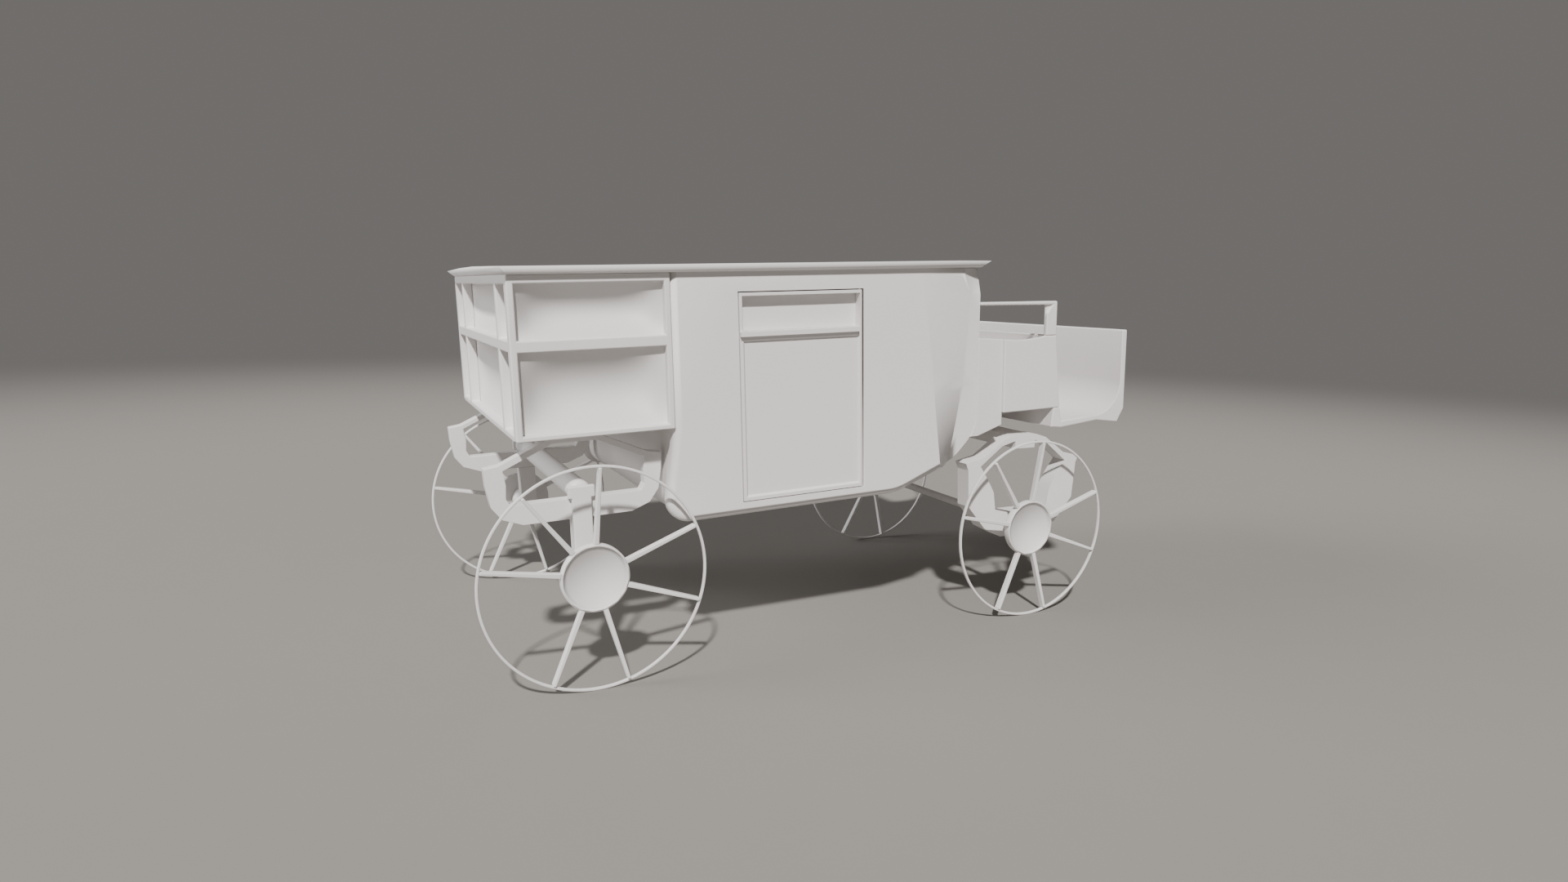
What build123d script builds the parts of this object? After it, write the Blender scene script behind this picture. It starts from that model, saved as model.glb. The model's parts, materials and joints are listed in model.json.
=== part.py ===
from build123d import *
from math import asin, atan2, cos, degrees, hypot, radians, sin
import os

# Horse drawn carriage: closed cabin with a panelled boot behind it and an open driver's
# seat in front, on two pairs of ring springs and four dished spoked wheels.
#
# Millimetres. +X is forward, +Y is the left side, +Z is up. The origin is on the ground
# under the middle of the carriage. The cabin, boot, seat and rear running gear share the
# body frame: its origin is the centre of the rear axle line, and it stands nose up on its
# springs. The fore-carriage stays level, so that its king pin is upright.

# Axle lines and wheels
axle_lead = 196  # front axle line ahead of the driver's seat box's rear edge
axle_drop = 123.4  # front axle line below the rear one, square to the body
rear_wheel_radius = 517
front_wheel_radius = 504
rear_wheel_stand_out = 57.5  # rim mid plane outside the body's side
front_wheel_stand_out = 34.5
rim_depth = 12  # radial
rim_width = 16
spoke_hub_width = 28
spoke_rim_width = 38
spoke_depth = 24
spoke_rim_depth = 14
spoke_dish = 29  # the rim stands this much further out than the spokes' feet
spoke_angles = (85.5, 21.5, -20, -76, -115.5, 167.5, 126.5)
hub_radius = 155
hub_width = 40
hub_setback = 12.5  # hub face inboard of the rim mid plane
hub_lip_width = 10
hub_lip_depth = 9
hub_dome_rise = 5
hub_dome_shares = (0.55, 0.7)  # the dome's knuckle, of its radius and of its rise
hub_face_wall = 18  # solid between the bore's end and the dome
barrel_radius = 65
axle_radius = 23
running_gap = 0.1  # between a shaft and its bore
seat_gap = 0.3  # between faces that slide on each other
wheel_side_gap = 7  # between a hub barrel and what stands beside it

# Boot, in the body frame
boot_rear_x = -294
boot_length = 709
boot_floor_z = 632
boot_height = 702
half_width = 840
boot_side_thick = 50
boot_rear_thick = 50
boot_floor_thick = 20
panel_thick = 14
boot_post_width = 30
boot_front_post_width = 27
boot_bottom_rail = 23
boot_top_rail = 38
boot_mid_rail_rise = 378
boot_mid_rail = 50
rear_post_inset = 320  # inner edge of the two posts in the rear face, from the body's side
rear_post_width = 40

# Cabin, in the body frame
cabin_length = 1723
cabin_wall = 60
shell_thick = 30
belly_drop = 451  # flat belly below the boot's floor
foot_swell = 65  # the side walls swell back under the boot at their foot
tub_swell = 10  # the shell between them stands clear of the springs
swell_radius = 110
knee_setback = 518  # where the flat belly turns up, behind the cabin's front
knee_radius = 320
chin_setback = 153
chin_rise = 137
chin_radius = 250
breast_setback = 11
breast_rise = 289
breast_radius = 240
wall_foot_drop = 32  # the back and front walls start this far below the boot's floor

# Front quarters of the side walls, hollowed towards the foot. Each row of shares is a level
# between belly and eave, then the distances of the quarter's edge and of its valley from the
# cabin's front, then how deep the valley and the front corner lie in the wall.
quarter_length = 376
quarter_shares = (
    (0, 0.646, 0.54, 0.73, 0.3),
    (0.47, 0.806, 0.274, 0.3, 0.23),
    (0.88, 0.96, 0.18, 0.18, 0.23),
    (1, 1, 0.338, 0.05, 0.83),
)

# Roof with its flared cornice
roof_rear_overhang = 31
roof_front_overhang = 15
roof_side_overhang = 51
roof_rim_depth = 32
cornice_flare = 36
roof_crown = 12
roof_board = 14
cornice_seat = 118  # width of the cornice ring under the roof board

# Doors
door_setback = 330  # from the back of the cabin
door_width = 662.5
door_foot_rise = 68
door_head_drop = 98
door_gap = 5
window_head = 15
window_height = 165
door_stile = 14
blind_recess = 47
blind_thick = 8
sill_depth = 18
sill_height = 22
sill_hinge_margin = 28
door_panel_margin = 16
door_panel_recess = 10
door_pin_radius = 6
door_pin_inset = 12  # pin centre from the door's front edge and outer face
door_pin_reach = 20

# Driver's seat, in the body frame
neck_length = 162
neck_inset = 14
neck_side_thick = 28
neck_rear_foot_drop = 115  # below the seat box
neck_front_foot_drop = 67
neck_rear_rise = 6  # above the bench
neck_front_dip = 7  # below the bench
seat_lift = 150.4  # seat box above the front springs, square to the body
seat_height = 408
seat_base = 400
seat_front_lean = 42
seat_board = 22
bench_sink = 57  # bench below the top of the seat box
seat_side_thick = 28
seat_side_dip = 14
arm_height = 188
arm_rise = 10  # the rail climbs this much towards the cabin
arm_thick = 18
arm_post_width = 72
arm_relief_length = 42  # shallow notch under the rail, in the post's outer face
arm_relief_height = 50
arm_relief_depth = 14

# Footboard and dash, one bent board across the full width, from the seat box's front foot
riser_top_inset = 45
riser_foot_inset = 60
riser_foot_drop = 109
foot_rear_reach = 15
foot_rear_drop = 117
foot_mid_reach = 282
foot_mid_drop = 97
foot_toe_reach = 444
foot_toe_drop = 123
nose_reach = 492
nose_drop = 42
dash_rise = 8  # above the bench
dash_thick = 35
foot_thick = 38
dash_bend_radius = 190

# Rear springs, hangers and beam, in the body frame
rear_spring_inset = 160  # from the body's side
rear_spring_width = 60
rear_spring_half = 405
rear_spring_setback = 12  # middle of the ring behind the axle line
rear_spring_height = 382
rear_ring_shares = (
    (0.27, 1), (0.835, 0.73), (1, 0.705), (0.99, 0.5), (0.95, 0.25), (0.84, 0.09), (0.62, 0),
)
rear_hole_shares = ((0.25, 0.93), (0.8, 0.665), (0.775, 0.5), (0.785, 0.33), (0.74, 0.25))
rear_pad_half = 98
rear_pad_height = 18
hanger_plate = 25
hanger_width = 90
hanger_head_width = 124
hanger_head_rise = 30  # above the beam's middle
hanger_shoulder_drop = 26
hanger_block = 80
rear_beam_radius = 50
rear_beam_rise = 124

# Fore-carriage, level, from the centre of the front axle
front_spring_inset = 68
front_spring_width = 100
front_spring_half = 407
front_spring_over_wheel = 18
front_spring_height = 580
front_ring_shares = (
    (0.2, 1), (0.37, 0.965), (0.71, 0.8), (1, 0.755), (0.955, 0.69), (0.92, 0.33), (0.63, 0.1),
    (0.34, 0),
)
front_hole_shares = (
    (0.16, 0.945), (0.4, 0.9), (0.75, 0.715), (0.6, 0.57), (0.5, 0.45), (0.45, 0.243),
)
bolster_half_length = 70
bolster_height = 76
turntable_radius = 195
turntable_inner_radius = 140
turntable_thick = 20
transom_half_width = 50
transom_reach = 85
king_pin_radius = 18
king_pin_head_radius = 32
king_pin_head = 14
pole_jaw_gap = 90
pole_jaw_thick = 20
pole_jaw_reach = 170
pole_jaw_height = 70
pole_pin_radius = 13

overrun = 20  # how far a cutting shape passes the face it cuts

# Places that follow from the sizes
boot_front_x = boot_rear_x + boot_length
eave_z = boot_floor_z + boot_height
boot_mid_rail_z = boot_floor_z + boot_mid_rail_rise
rear_post_y = half_width - rear_post_inset
cabin_front_x = boot_front_x + cabin_length
belly_z = boot_floor_z - belly_drop
bulge_x = boot_front_x - foot_swell
tub_rear_x = boot_front_x - tub_swell
knee_x = cabin_front_x - knee_setback
chin_x = cabin_front_x - chin_setback
chin_z = belly_z + chin_rise
breast_x = cabin_front_x - breast_setback
breast_z = belly_z + breast_rise
wall_foot_z = boot_floor_z - wall_foot_drop
roof_rear_x = boot_rear_x - roof_rear_overhang
roof_front_x = cabin_front_x + roof_front_overhang
roof_half_width = half_width + roof_side_overhang
door_rear_x = boot_front_x + door_setback
door_front_x = door_rear_x + door_width
door_bottom_z = belly_z + door_foot_rise
door_top_z = eave_z - door_head_drop
window_top_z = door_top_z - window_head
window_bottom_z = window_top_z - window_height
front_spring_top_z = front_wheel_radius + front_spring_over_wheel
front_spring_foot_z = front_spring_top_z - front_spring_height
front_spring_outer_y = half_width - front_spring_inset
neck_front_x = cabin_front_x + neck_length
wheelbase = neck_front_x + axle_lead
seat_foot_z = front_spring_top_z - axle_drop + seat_lift
seat_top_z = seat_foot_z + seat_height
seat_front_foot_x = neck_front_x + seat_base
seat_front_top_x = seat_front_foot_x - seat_front_lean
arm_top_z = seat_top_z + arm_height
foot_rear_x = seat_front_foot_x + foot_rear_reach
foot_rear_z = seat_foot_z - foot_rear_drop
foot_mid_z = seat_foot_z - foot_mid_drop
nose_x = seat_front_foot_x + nose_reach
nose_z = seat_foot_z - nose_drop
dash_top_z = seat_top_z + dash_rise
rear_spring_outer_y = half_width - rear_spring_inset
rear_spring_top_z = boot_floor_z - rear_pad_height
rear_spring_foot_z = rear_spring_top_z - rear_spring_height
rear_beam_z = rear_spring_foot_z + rear_beam_rise
hanger_head_z = rear_beam_z + hanger_head_rise
hanger_shoulder_z = rear_beam_z - hanger_shoulder_drop
rear_wheel_offset = half_width + rear_wheel_stand_out
front_wheel_offset = half_width + front_wheel_stand_out

# How the body stands on its wheels
pitch = degrees(
    asin((front_wheel_radius - rear_wheel_radius) / hypot(wheelbase, axle_drop))
    + atan2(axle_drop, wheelbase)
)
nose_up = radians(pitch)
front_reach = nose_x * cos(nose_up) - nose_z * sin(nose_up)
rear_axle_x = (rear_wheel_radius - front_reach) / 2
front_axle_x = rear_axle_x + wheelbase * cos(nose_up) + axle_drop * sin(nose_up)
body_place = Pos(rear_axle_x, 0, rear_wheel_radius) * Rot(0, -pitch, 0)
fore_place = Pos(front_axle_x, 0, front_wheel_radius)

nodes = {}


def box(x, y, z):
    """Box between two limits on each axis."""
    centre = ((x[0] + x[1]) / 2, (y[0] + y[1]) / 2, (z[0] + z[1]) / 2)
    return Pos(*centre) * Box(x[1] - x[0], y[1] - y[0], z[1] - z[0])


def across(face, low_y, high_y):
    """Extrude a side view, drawn on XZ, between two stations across the carriage."""
    return Pos(0, high_y, 0) * extrude(Plane.XZ * face, high_y - low_y)


def pair(name, right, place):
    """Keep a right-hand piece and its mirror image."""
    nodes[f"{name}_right"] = place * right
    nodes[f"{name}_left"] = mirror(place * right, about=Plane.XZ)


def ring_face(shares, half_length, foot_z, top_z):
    """Outline of a ring spring, symmetric about its axle, from shares of its size."""
    front = [(x * half_length, foot_z + z * (top_z - foot_z)) for x, z in shares]
    return make_face(Polyline(*front, *[(-x, z) for x, z in reversed(front)], close=True))


def cabin_side_view(foot_x):
    """Side outline of the cabin, its rear foot at a given station."""
    corners = (
        (boot_front_x, eave_z, 0),
        (boot_front_x, boot_floor_z, 0),
        (foot_x, belly_z, swell_radius),
        (knee_x, belly_z, knee_radius),
        (chin_x, chin_z, chin_radius),
        (breast_x, breast_z, breast_radius),
        (cabin_front_x, eave_z, 0),
    )
    view = make_face(Polyline(*[(x, z) for x, z, radius in corners], close=True))
    for x, z, radius in corners:
        if radius:
            view = fillet(view.vertices().sort_by_distance((x, z, 0))[0], radius)
    return view


# Side views of the cabin's walls, of its shell and of the space inside
cabin_face = cabin_side_view(bulge_x)
tub_face = cabin_side_view(tub_rear_x)
cabin_core = offset(tub_face, -shell_thick, kind=Kind.INTERSECTION)
cabin_core += Pos((boot_front_x + cabin_front_x) / 2, eave_z - shell_thick) * Rectangle(
    cabin_front_x - boot_front_x - 2 * shell_thick, 2 * shell_thick
)

# Outer side wall: straight, then lofted forward through the levels of the front quarter
inner_half = half_width - cabin_wall
levels = []
for level, edge, valley, valley_sink, corner_sink in quarter_shares:
    outline = Polyline(
        (bulge_x - overrun, -inner_half),
        (bulge_x - overrun, -half_width),
        (cabin_front_x - edge * quarter_length, -half_width),
        (cabin_front_x - valley * quarter_length, -half_width + valley_sink * cabin_wall),
        (cabin_front_x, -half_width + corner_sink * cabin_wall),
        (cabin_front_x, -inner_half),
        close=True,
    )
    levels.append(Pos(0, 0, belly_z + level * (eave_z - belly_z)) * make_face(outline))
wall_block = loft(levels, ruled=True)
doorway = box(
    (door_rear_x - door_gap, door_front_x + door_gap),
    (-half_width - overrun, -inner_half + overrun),
    (door_bottom_z - door_gap, door_top_z + door_gap),
)
door_pin_x = door_front_x - door_pin_inset
door_pin_y = -half_width + door_pin_inset
pin_bore = Pos(door_pin_x, door_pin_y) * Cylinder(
    door_pin_radius + running_gap,
    door_top_z - door_bottom_z + 2 * (door_pin_reach + seat_gap),
    align=(Align.CENTER, Align.CENTER, Align.MIN),
).moved(Location((0, 0, door_bottom_z - door_pin_reach - seat_gap)))
cabin_side = across(cabin_face, -half_width, -inner_half) & wall_block
pair("cabin_side", cabin_side - doorway - pin_bore, body_place)

# Bent shell between the side walls, split where its boards meet
shell = across(tub_face - cabin_core, -inner_half, inner_half)
middle_x = (boot_front_x + cabin_front_x) / 2
above_back = box((bulge_x, middle_x), (-half_width, half_width), (wall_foot_z, eave_z))
above_front = box(
    (middle_x, cabin_front_x + overrun), (-half_width, half_width), (wall_foot_z, eave_z)
)
nodes["cabin_back_wall"] = body_place * (shell & above_back)
nodes["cabin_front_wall"] = body_place * (shell & above_front)
nodes["cabin_tub"] = body_place * (shell - above_back - above_front)

# Doors, hung on pins at the front edge
door = box((door_rear_x, door_front_x), (-half_width, -inner_half), (door_bottom_z, door_top_z))
door = fillet(
    door.edges().filter_by(Axis.Z).sort_by_distance((door_front_x, -half_width, door_top_z))[0],
    door_pin_inset - running_gap,
)
door -= box(
    (door_rear_x + door_stile, door_front_x - door_stile),
    (-half_width - overrun, -inner_half + overrun),
    (window_bottom_z, window_top_z),
)
panel_centre = (
    (door_rear_x + door_front_x) / 2,
    (door_bottom_z + window_bottom_z - sill_height) / 2,
)
panel_face = Rectangle(
    door_front_x - door_rear_x - 2 * door_panel_margin,
    window_bottom_z - sill_height - door_bottom_z - 2 * door_panel_margin,
)
panel_plane = Plane(
    origin=(panel_centre[0], -half_width, panel_centre[1]), x_dir=(1, 0, 0), z_dir=(0, 1, 0)
)
door -= extrude(panel_plane * panel_face, door_panel_recess, taper=45)
door += box(
    (door_rear_x, door_front_x - sill_hinge_margin),
    (-half_width - sill_depth, -half_width),
    (window_bottom_z - sill_height, window_bottom_z),
)
door += Pos(door_pin_x, door_pin_y, (door_bottom_z + door_top_z) / 2) * Cylinder(
    door_pin_radius, door_top_z - door_bottom_z + 2 * door_pin_reach
)
door -= box(
    (door_rear_x + door_stile, door_front_x - door_stile),
    (-half_width - overrun, -inner_half + overrun),
    (window_bottom_z, window_top_z),
)
blind = box(
    (door_rear_x + door_stile, door_front_x - door_stile),
    (-half_width + blind_recess, -half_width + blind_recess + blind_thick),
    (window_bottom_z, window_top_z),
)
pair("door", door, body_place)
pair("door_blind", blind, body_place)

# Boot: side frames with two recessed panels, rear frame of rails and posts over a sheet
boot_rows = (
    (boot_floor_z + boot_bottom_rail, boot_mid_rail_z),
    (boot_mid_rail_z + boot_mid_rail, eave_z - boot_top_rail),
)
boot_inner = half_width - boot_side_thick
bay = (boot_rear_x + boot_post_width, boot_front_x - boot_front_post_width)
boot_side = box((boot_rear_x, boot_front_x), (-half_width, -boot_inner), (boot_floor_z, eave_z))
side_panels = []
for row in boot_rows:
    boot_side -= box(bay, (-half_width - overrun, -boot_inner + overrun), row)
    side_panels.append(box(bay, (-boot_inner - panel_thick, -boot_inner), row))
pair("boot_side_frame", boot_side, body_place)
pair("boot_side_panels", Compound(children=side_panels), body_place)

rear_face_x = (boot_rear_x, boot_rear_x + boot_rear_thick)
rear_frame = box(rear_face_x, (-boot_inner, boot_inner), (boot_floor_z, eave_z))
cut_x = (boot_rear_x - overrun, boot_rear_x + boot_rear_thick + overrun)
for row in boot_rows:
    rear_frame -= box(cut_x, (-rear_post_y, rear_post_y), row)
    for side in (-1, 1):
        reach = sorted((side * (rear_post_y + rear_post_width), side * (boot_inner + overrun)))
        rear_frame -= box(cut_x, reach, row)
nodes["boot_rear_frame"] = body_place * rear_frame
sheet_x = boot_rear_x + boot_rear_thick
nodes["boot_rear_sheet"] = body_place * box(
    (sheet_x, sheet_x + panel_thick), (-boot_inner, boot_inner), (boot_floor_z, eave_z)
)
nodes["boot_floor"] = body_place * box(
    (sheet_x + panel_thick, boot_front_x),
    (-boot_inner, boot_inner),
    (boot_floor_z, boot_floor_z + boot_floor_thick),
)

# Roof: flared cornice under a crowned board, hollow underneath
roof_mid_x = (roof_rear_x + roof_front_x) / 2
roof_length = roof_front_x - roof_rear_x
roof_top_z = eave_z + roof_rim_depth + roof_crown
flare = loft(
    [
        Pos(roof_mid_x, 0, eave_z)
        * Rectangle(roof_length - 2 * cornice_flare, 2 * (roof_half_width - cornice_flare)),
        Pos(roof_mid_x, 0, eave_z + roof_rim_depth) * Rectangle(roof_length, 2 * roof_half_width),
    ]
)
lid = Pos(roof_mid_x, 0, roof_top_z - roof_crown / 2) * Box(
    roof_length, 2 * roof_half_width, roof_crown
)
crown_radius = (roof_half_width**2 + roof_crown**2) / (2 * roof_crown)
arch = Pos(roof_mid_x, 0, roof_top_z - crown_radius) * Rot(0, 90, 0) * Cylinder(
    crown_radius, roof_length + 2 * overrun
)
roof = (flare + lid) & arch
hollow_top = roof_top_z - roof_crown - roof_board
roof -= Pos(roof_mid_x, 0, (eave_z + hollow_top) / 2) * Box(
    roof_length - 2 * (cornice_flare + cornice_seat),
    2 * (roof_half_width - cornice_flare - cornice_seat),
    hollow_top - eave_z,
)
nodes["roof"] = body_place * roof

# Driver's seat: neck against the cabin, box under the bench, arm rails
neck_rear_foot_z = seat_foot_z - neck_rear_foot_drop
neck_front_foot_z = seat_foot_z - neck_front_foot_drop
neck_face = make_face(
    Polyline(
        (chin_x, neck_rear_foot_z),
        (cabin_front_x, neck_rear_foot_z),
        (neck_front_x, neck_front_foot_z),
        (neck_front_x, seat_top_z - neck_front_dip),
        (cabin_front_x, seat_top_z + neck_rear_rise),
        (chin_x, seat_top_z + neck_rear_rise),
        close=True,
    )
)
cabin_block = across(cabin_face, -half_width, half_width)
neck_outer = half_width - neck_inset
neck = across(neck_face, -neck_outer, -neck_outer + neck_side_thick) - cabin_block
pair("neck_side", neck, body_place)

post_rear_x = seat_front_top_x - arm_post_width
dip_x = (neck_front_x + post_rear_x) / 2
seat_side_face = make_face(
    Polyline(
        (neck_front_x, seat_top_z - neck_front_dip),
        (neck_front_x, seat_foot_z),
        (seat_front_foot_x, seat_foot_z),
        (seat_front_top_x, seat_top_z),
        (post_rear_x, seat_top_z),
    )
    + ThreePointArc(
        (post_rear_x, seat_top_z),
        (dip_x, seat_top_z - seat_side_dip),
        (neck_front_x, seat_top_z - neck_front_dip),
    )
)
seat_inner = half_width - seat_side_thick
seat_side = across(seat_side_face, -half_width, -seat_inner)
pair("seat_side", seat_side, body_place)

seat_outline = (
    (chin_x, neck_rear_foot_z),
    (cabin_front_x, neck_rear_foot_z),
    (neck_front_x, neck_front_foot_z),
    (neck_front_x, seat_foot_z),
    (seat_front_foot_x, seat_foot_z),
    (seat_front_top_x, seat_top_z),
    (chin_x, seat_top_z),
)
seat_face = make_face(Polyline(*seat_outline, close=True))
seat_core = offset(seat_face, -seat_board, kind=Kind.INTERSECTION)
seat_shell = across(seat_face - seat_core, -seat_inner, seat_inner)
seat_shell -= cabin_block
neck_inner = neck_outer - neck_side_thick
for side in (-1, 1):
    reach = sorted((side * neck_inner, side * half_width))
    seat_shell -= box((chin_x - overrun, neck_front_x), reach, (belly_z, arm_top_z))
bench_top_z = seat_top_z - bench_sink
front_board_face = make_face(
    Polyline(
        (seat_front_foot_x, seat_foot_z),
        (seat_front_top_x, seat_top_z),
        (seat_front_top_x - seat_board, seat_top_z),
        (seat_front_foot_x - seat_board, seat_foot_z),
        close=True,
    )
)
front_board = across(front_board_face, -seat_inner, seat_inner)
seat_bottom = seat_shell - box(
    (chin_x - overrun, nose_x), (-half_width, half_width), (seat_foot_z + seat_board, arm_top_z)
)
bench = box(
    (chin_x, seat_front_foot_x), (-seat_inner, seat_inner), (bench_top_z - seat_board, bench_top_z)
)
bench -= cabin_block + front_board
for side in (-1, 1):
    reach = sorted((side * neck_inner, side * half_width))
    bench -= box((chin_x - overrun, neck_front_x), reach, (belly_z, arm_top_z))
nodes["seat_bench"] = body_place * bench.solids().sort_by(Axis.X)[0]
nodes["seat_front_board"] = body_place * front_board
nodes["seat_bottom"] = body_place * (seat_bottom - front_board)

arm_foot_z = arm_top_z - arm_thick
arm_face = make_face(
    Polyline(
        (chin_x, arm_top_z + arm_rise),
        (chin_x, arm_foot_z + arm_rise),
        (post_rear_x, arm_foot_z),
        (post_rear_x, seat_top_z),
        (seat_front_top_x, seat_top_z),
        (seat_front_top_x, arm_top_z),
        close=True,
    )
)
arm_relief = make_face(
    Polyline(
        (post_rear_x, arm_foot_z),
        (post_rear_x, arm_foot_z - arm_relief_height),
        (post_rear_x + arm_relief_length, arm_foot_z),
        close=True,
    )
)
arm = across(arm_face, -half_width, -seat_inner) - cabin_block
arm -= across(arm_relief, -half_width, -half_width + arm_relief_depth)
pair("arm_rail", arm, body_place)

# Footboard and dash
dash_inner_x = nose_x - dash_thick
dash_outline = (
    (seat_front_foot_x - riser_top_inset, seat_foot_z),
    (seat_front_foot_x - riser_foot_inset, seat_foot_z - riser_foot_drop),
    (foot_rear_x, foot_rear_z),
    (seat_front_foot_x + foot_mid_reach, foot_mid_z),
    (seat_front_foot_x + foot_toe_reach, seat_foot_z - foot_toe_drop),
    (nose_x, nose_z),
    (nose_x, dash_top_z),
    (dash_inner_x, dash_top_z),
    (dash_inner_x, foot_mid_z + foot_thick),
    (foot_rear_x, foot_rear_z + foot_thick),
    (seat_front_foot_x, seat_foot_z),
)
dash_face = make_face(Polyline(*dash_outline, close=True))
bend = dash_face.vertices().sort_by_distance((dash_inner_x, foot_mid_z + foot_thick, 0))[0]
dash_face = fillet(bend, dash_bend_radius)
nodes["dash_and_footboard"] = body_place * across(dash_face, -half_width, half_width)

# Rear running gear
beam = Pos(0, 0, rear_beam_z) * Rot(90, 0, 0) * Cylinder(rear_beam_radius, 2 * rear_spring_outer_y)
nodes["rear_axle_beam"] = body_place * beam
spring_inner_y = rear_spring_outer_y - rear_spring_width
rear_size = (rear_spring_half, rear_spring_foot_z, rear_spring_top_z)
rear_ring = ring_face(rear_ring_shares, *rear_size) - ring_face(rear_hole_shares, *rear_size)
rear_ring = Pos(-rear_spring_setback, 0) * rear_ring
rear_spring = across(rear_ring, -rear_spring_outer_y, -spring_inner_y) - beam
rear_spring += box(
    (-rear_spring_setback - rear_pad_half, -rear_spring_setback + rear_pad_half),
    (-rear_spring_outer_y, -spring_inner_y),
    (rear_spring_top_z, boot_floor_z),
)
pair("rear_spring", rear_spring, body_place)

hanger_outer_y = rear_spring_outer_y + hanger_plate
hanger_face = make_face(
    Polyline(
        (-hanger_width / 2, 0),
        (-hanger_width / 2, hanger_shoulder_z),
        (-hanger_head_width / 2, hanger_shoulder_z),
        (-hanger_head_width / 2, hanger_head_z),
        (hanger_head_width / 2, hanger_head_z),
        (hanger_head_width / 2, hanger_shoulder_z),
        (hanger_width / 2, hanger_shoulder_z),
        (hanger_width / 2, 0),
        close=True,
    )
)
hanger_face += Circle(hanger_width / 2)
hanger = across(hanger_face, -hanger_outer_y, -rear_spring_outer_y)
block_face = Circle(hanger_width / 2) + Pos(0, rear_spring_foot_z / 2) * Rectangle(
    hanger_width, rear_spring_foot_z
)
hanger += across(block_face, -rear_spring_outer_y, -hanger_outer_y + hanger_block)


def stub(inner_y, wheel_offset):
    """Shaft from a given station out to just short of the end of the hub's bore."""
    end_y = wheel_offset - hub_setback - hub_lip_depth - hub_face_wall - seat_gap
    length = end_y - inner_y
    return Pos(0, -inner_y - length / 2, 0) * Rot(90, 0, 0) * Cylinder(axle_radius, length)


hanger += stub(hanger_outer_y, rear_wheel_offset)
pair("rear_hanger", hanger, body_place)

# Fore-carriage
front_end_y = front_wheel_offset - hub_setback - hub_lip_depth - hub_face_wall - seat_gap
front_axle = Rot(90, 0, 0) * Cylinder(axle_radius, 2 * front_end_y)
nodes["front_axle"] = fore_place * front_axle
front_size = (front_spring_half, front_spring_foot_z, front_spring_top_z)
front_ring = ring_face(front_ring_shares, *front_size) - ring_face(front_hole_shares, *front_size)
front_spring = across(
    front_ring, -front_spring_outer_y, -front_spring_outer_y + front_spring_width
)
pair("front_spring", front_spring - front_axle, fore_place)

king_bore = Pos(0, 0, front_spring_top_z) * Cylinder(
    king_pin_radius + running_gap, 2 * (bolster_height + turntable_thick + overrun)
)
bolster = box(
    (-bolster_half_length, bolster_half_length),
    (-front_spring_outer_y, front_spring_outer_y),
    (front_spring_top_z - bolster_height, front_spring_top_z),
)
bolster -= front_spring + mirror(front_spring, about=Plane.XZ)
bolster = (bolster - king_bore).solids().sort_by(SortBy.VOLUME)[-1]
nodes["front_bolster"] = fore_place * bolster

lower_ring = Pos(0, 0, front_spring_top_z + turntable_thick / 2) * (
    Cylinder(turntable_radius, turntable_thick)
    - Cylinder(turntable_inner_radius, turntable_thick)
)
nodes["turntable_lower"] = fore_place * lower_ring

# Upper turntable: ring and crossed transoms cut off under the seat box, with the king pin
upper_z = front_spring_top_z + turntable_thick + seat_gap
upper_ring = Pos(0, 0, upper_z + turntable_thick / 2) * (
    Cylinder(turntable_radius, turntable_thick)
    - Cylinder(turntable_inner_radius, turntable_thick)
)
tall = seat_foot_z + axle_drop + 2 * overrun
upper = upper_ring + box(
    (-transom_half_width, transom_half_width), (-turntable_radius, turntable_radius), (upper_z, tall)
)
upper += box(
    (-transom_reach, transom_reach), (-transom_half_width, transom_half_width), (upper_z, tall)
)
seat_underside = box((bulge_x, nose_x), (-half_width, half_width), (seat_foot_z, roof_top_z))
pin_foot_z = front_spring_top_z - bolster_height - seat_gap - king_pin_head
king_pin = Pos(0, 0, (pin_foot_z + upper_z) / 2) * Cylinder(
    king_pin_radius, upper_z - pin_foot_z
)
king_pin += Pos(0, 0, pin_foot_z + king_pin_head / 2) * Cylinder(
    king_pin_head_radius, king_pin_head
)
nodes["turntable_upper"] = fore_place * (upper + king_pin) - body_place * seat_underside

# Pole jaws on the front of the bolster
jaw_top_z = front_spring_top_z
jaw_radius = pole_jaw_height / 2
jaw_z = jaw_top_z - jaw_radius
jaw_x = bolster_half_length + pole_jaw_reach
jaw_face = Pos((bolster_half_length + jaw_x) / 2, jaw_z) * Rectangle(
    jaw_x - bolster_half_length, pole_jaw_height
)
jaw_face += Pos(jaw_x, jaw_z) * Circle(jaw_radius)
jaw_face -= Pos(jaw_x, jaw_z) * Circle(pole_pin_radius)
jaw_y = pole_jaw_gap / 2
jaws = [
    across(jaw_face, -jaw_y - pole_jaw_thick, -jaw_y),
    across(jaw_face, jaw_y, jaw_y + pole_jaw_thick),
]
nodes["pole_jaws"] = fore_place * Compound(children=jaws)


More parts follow.
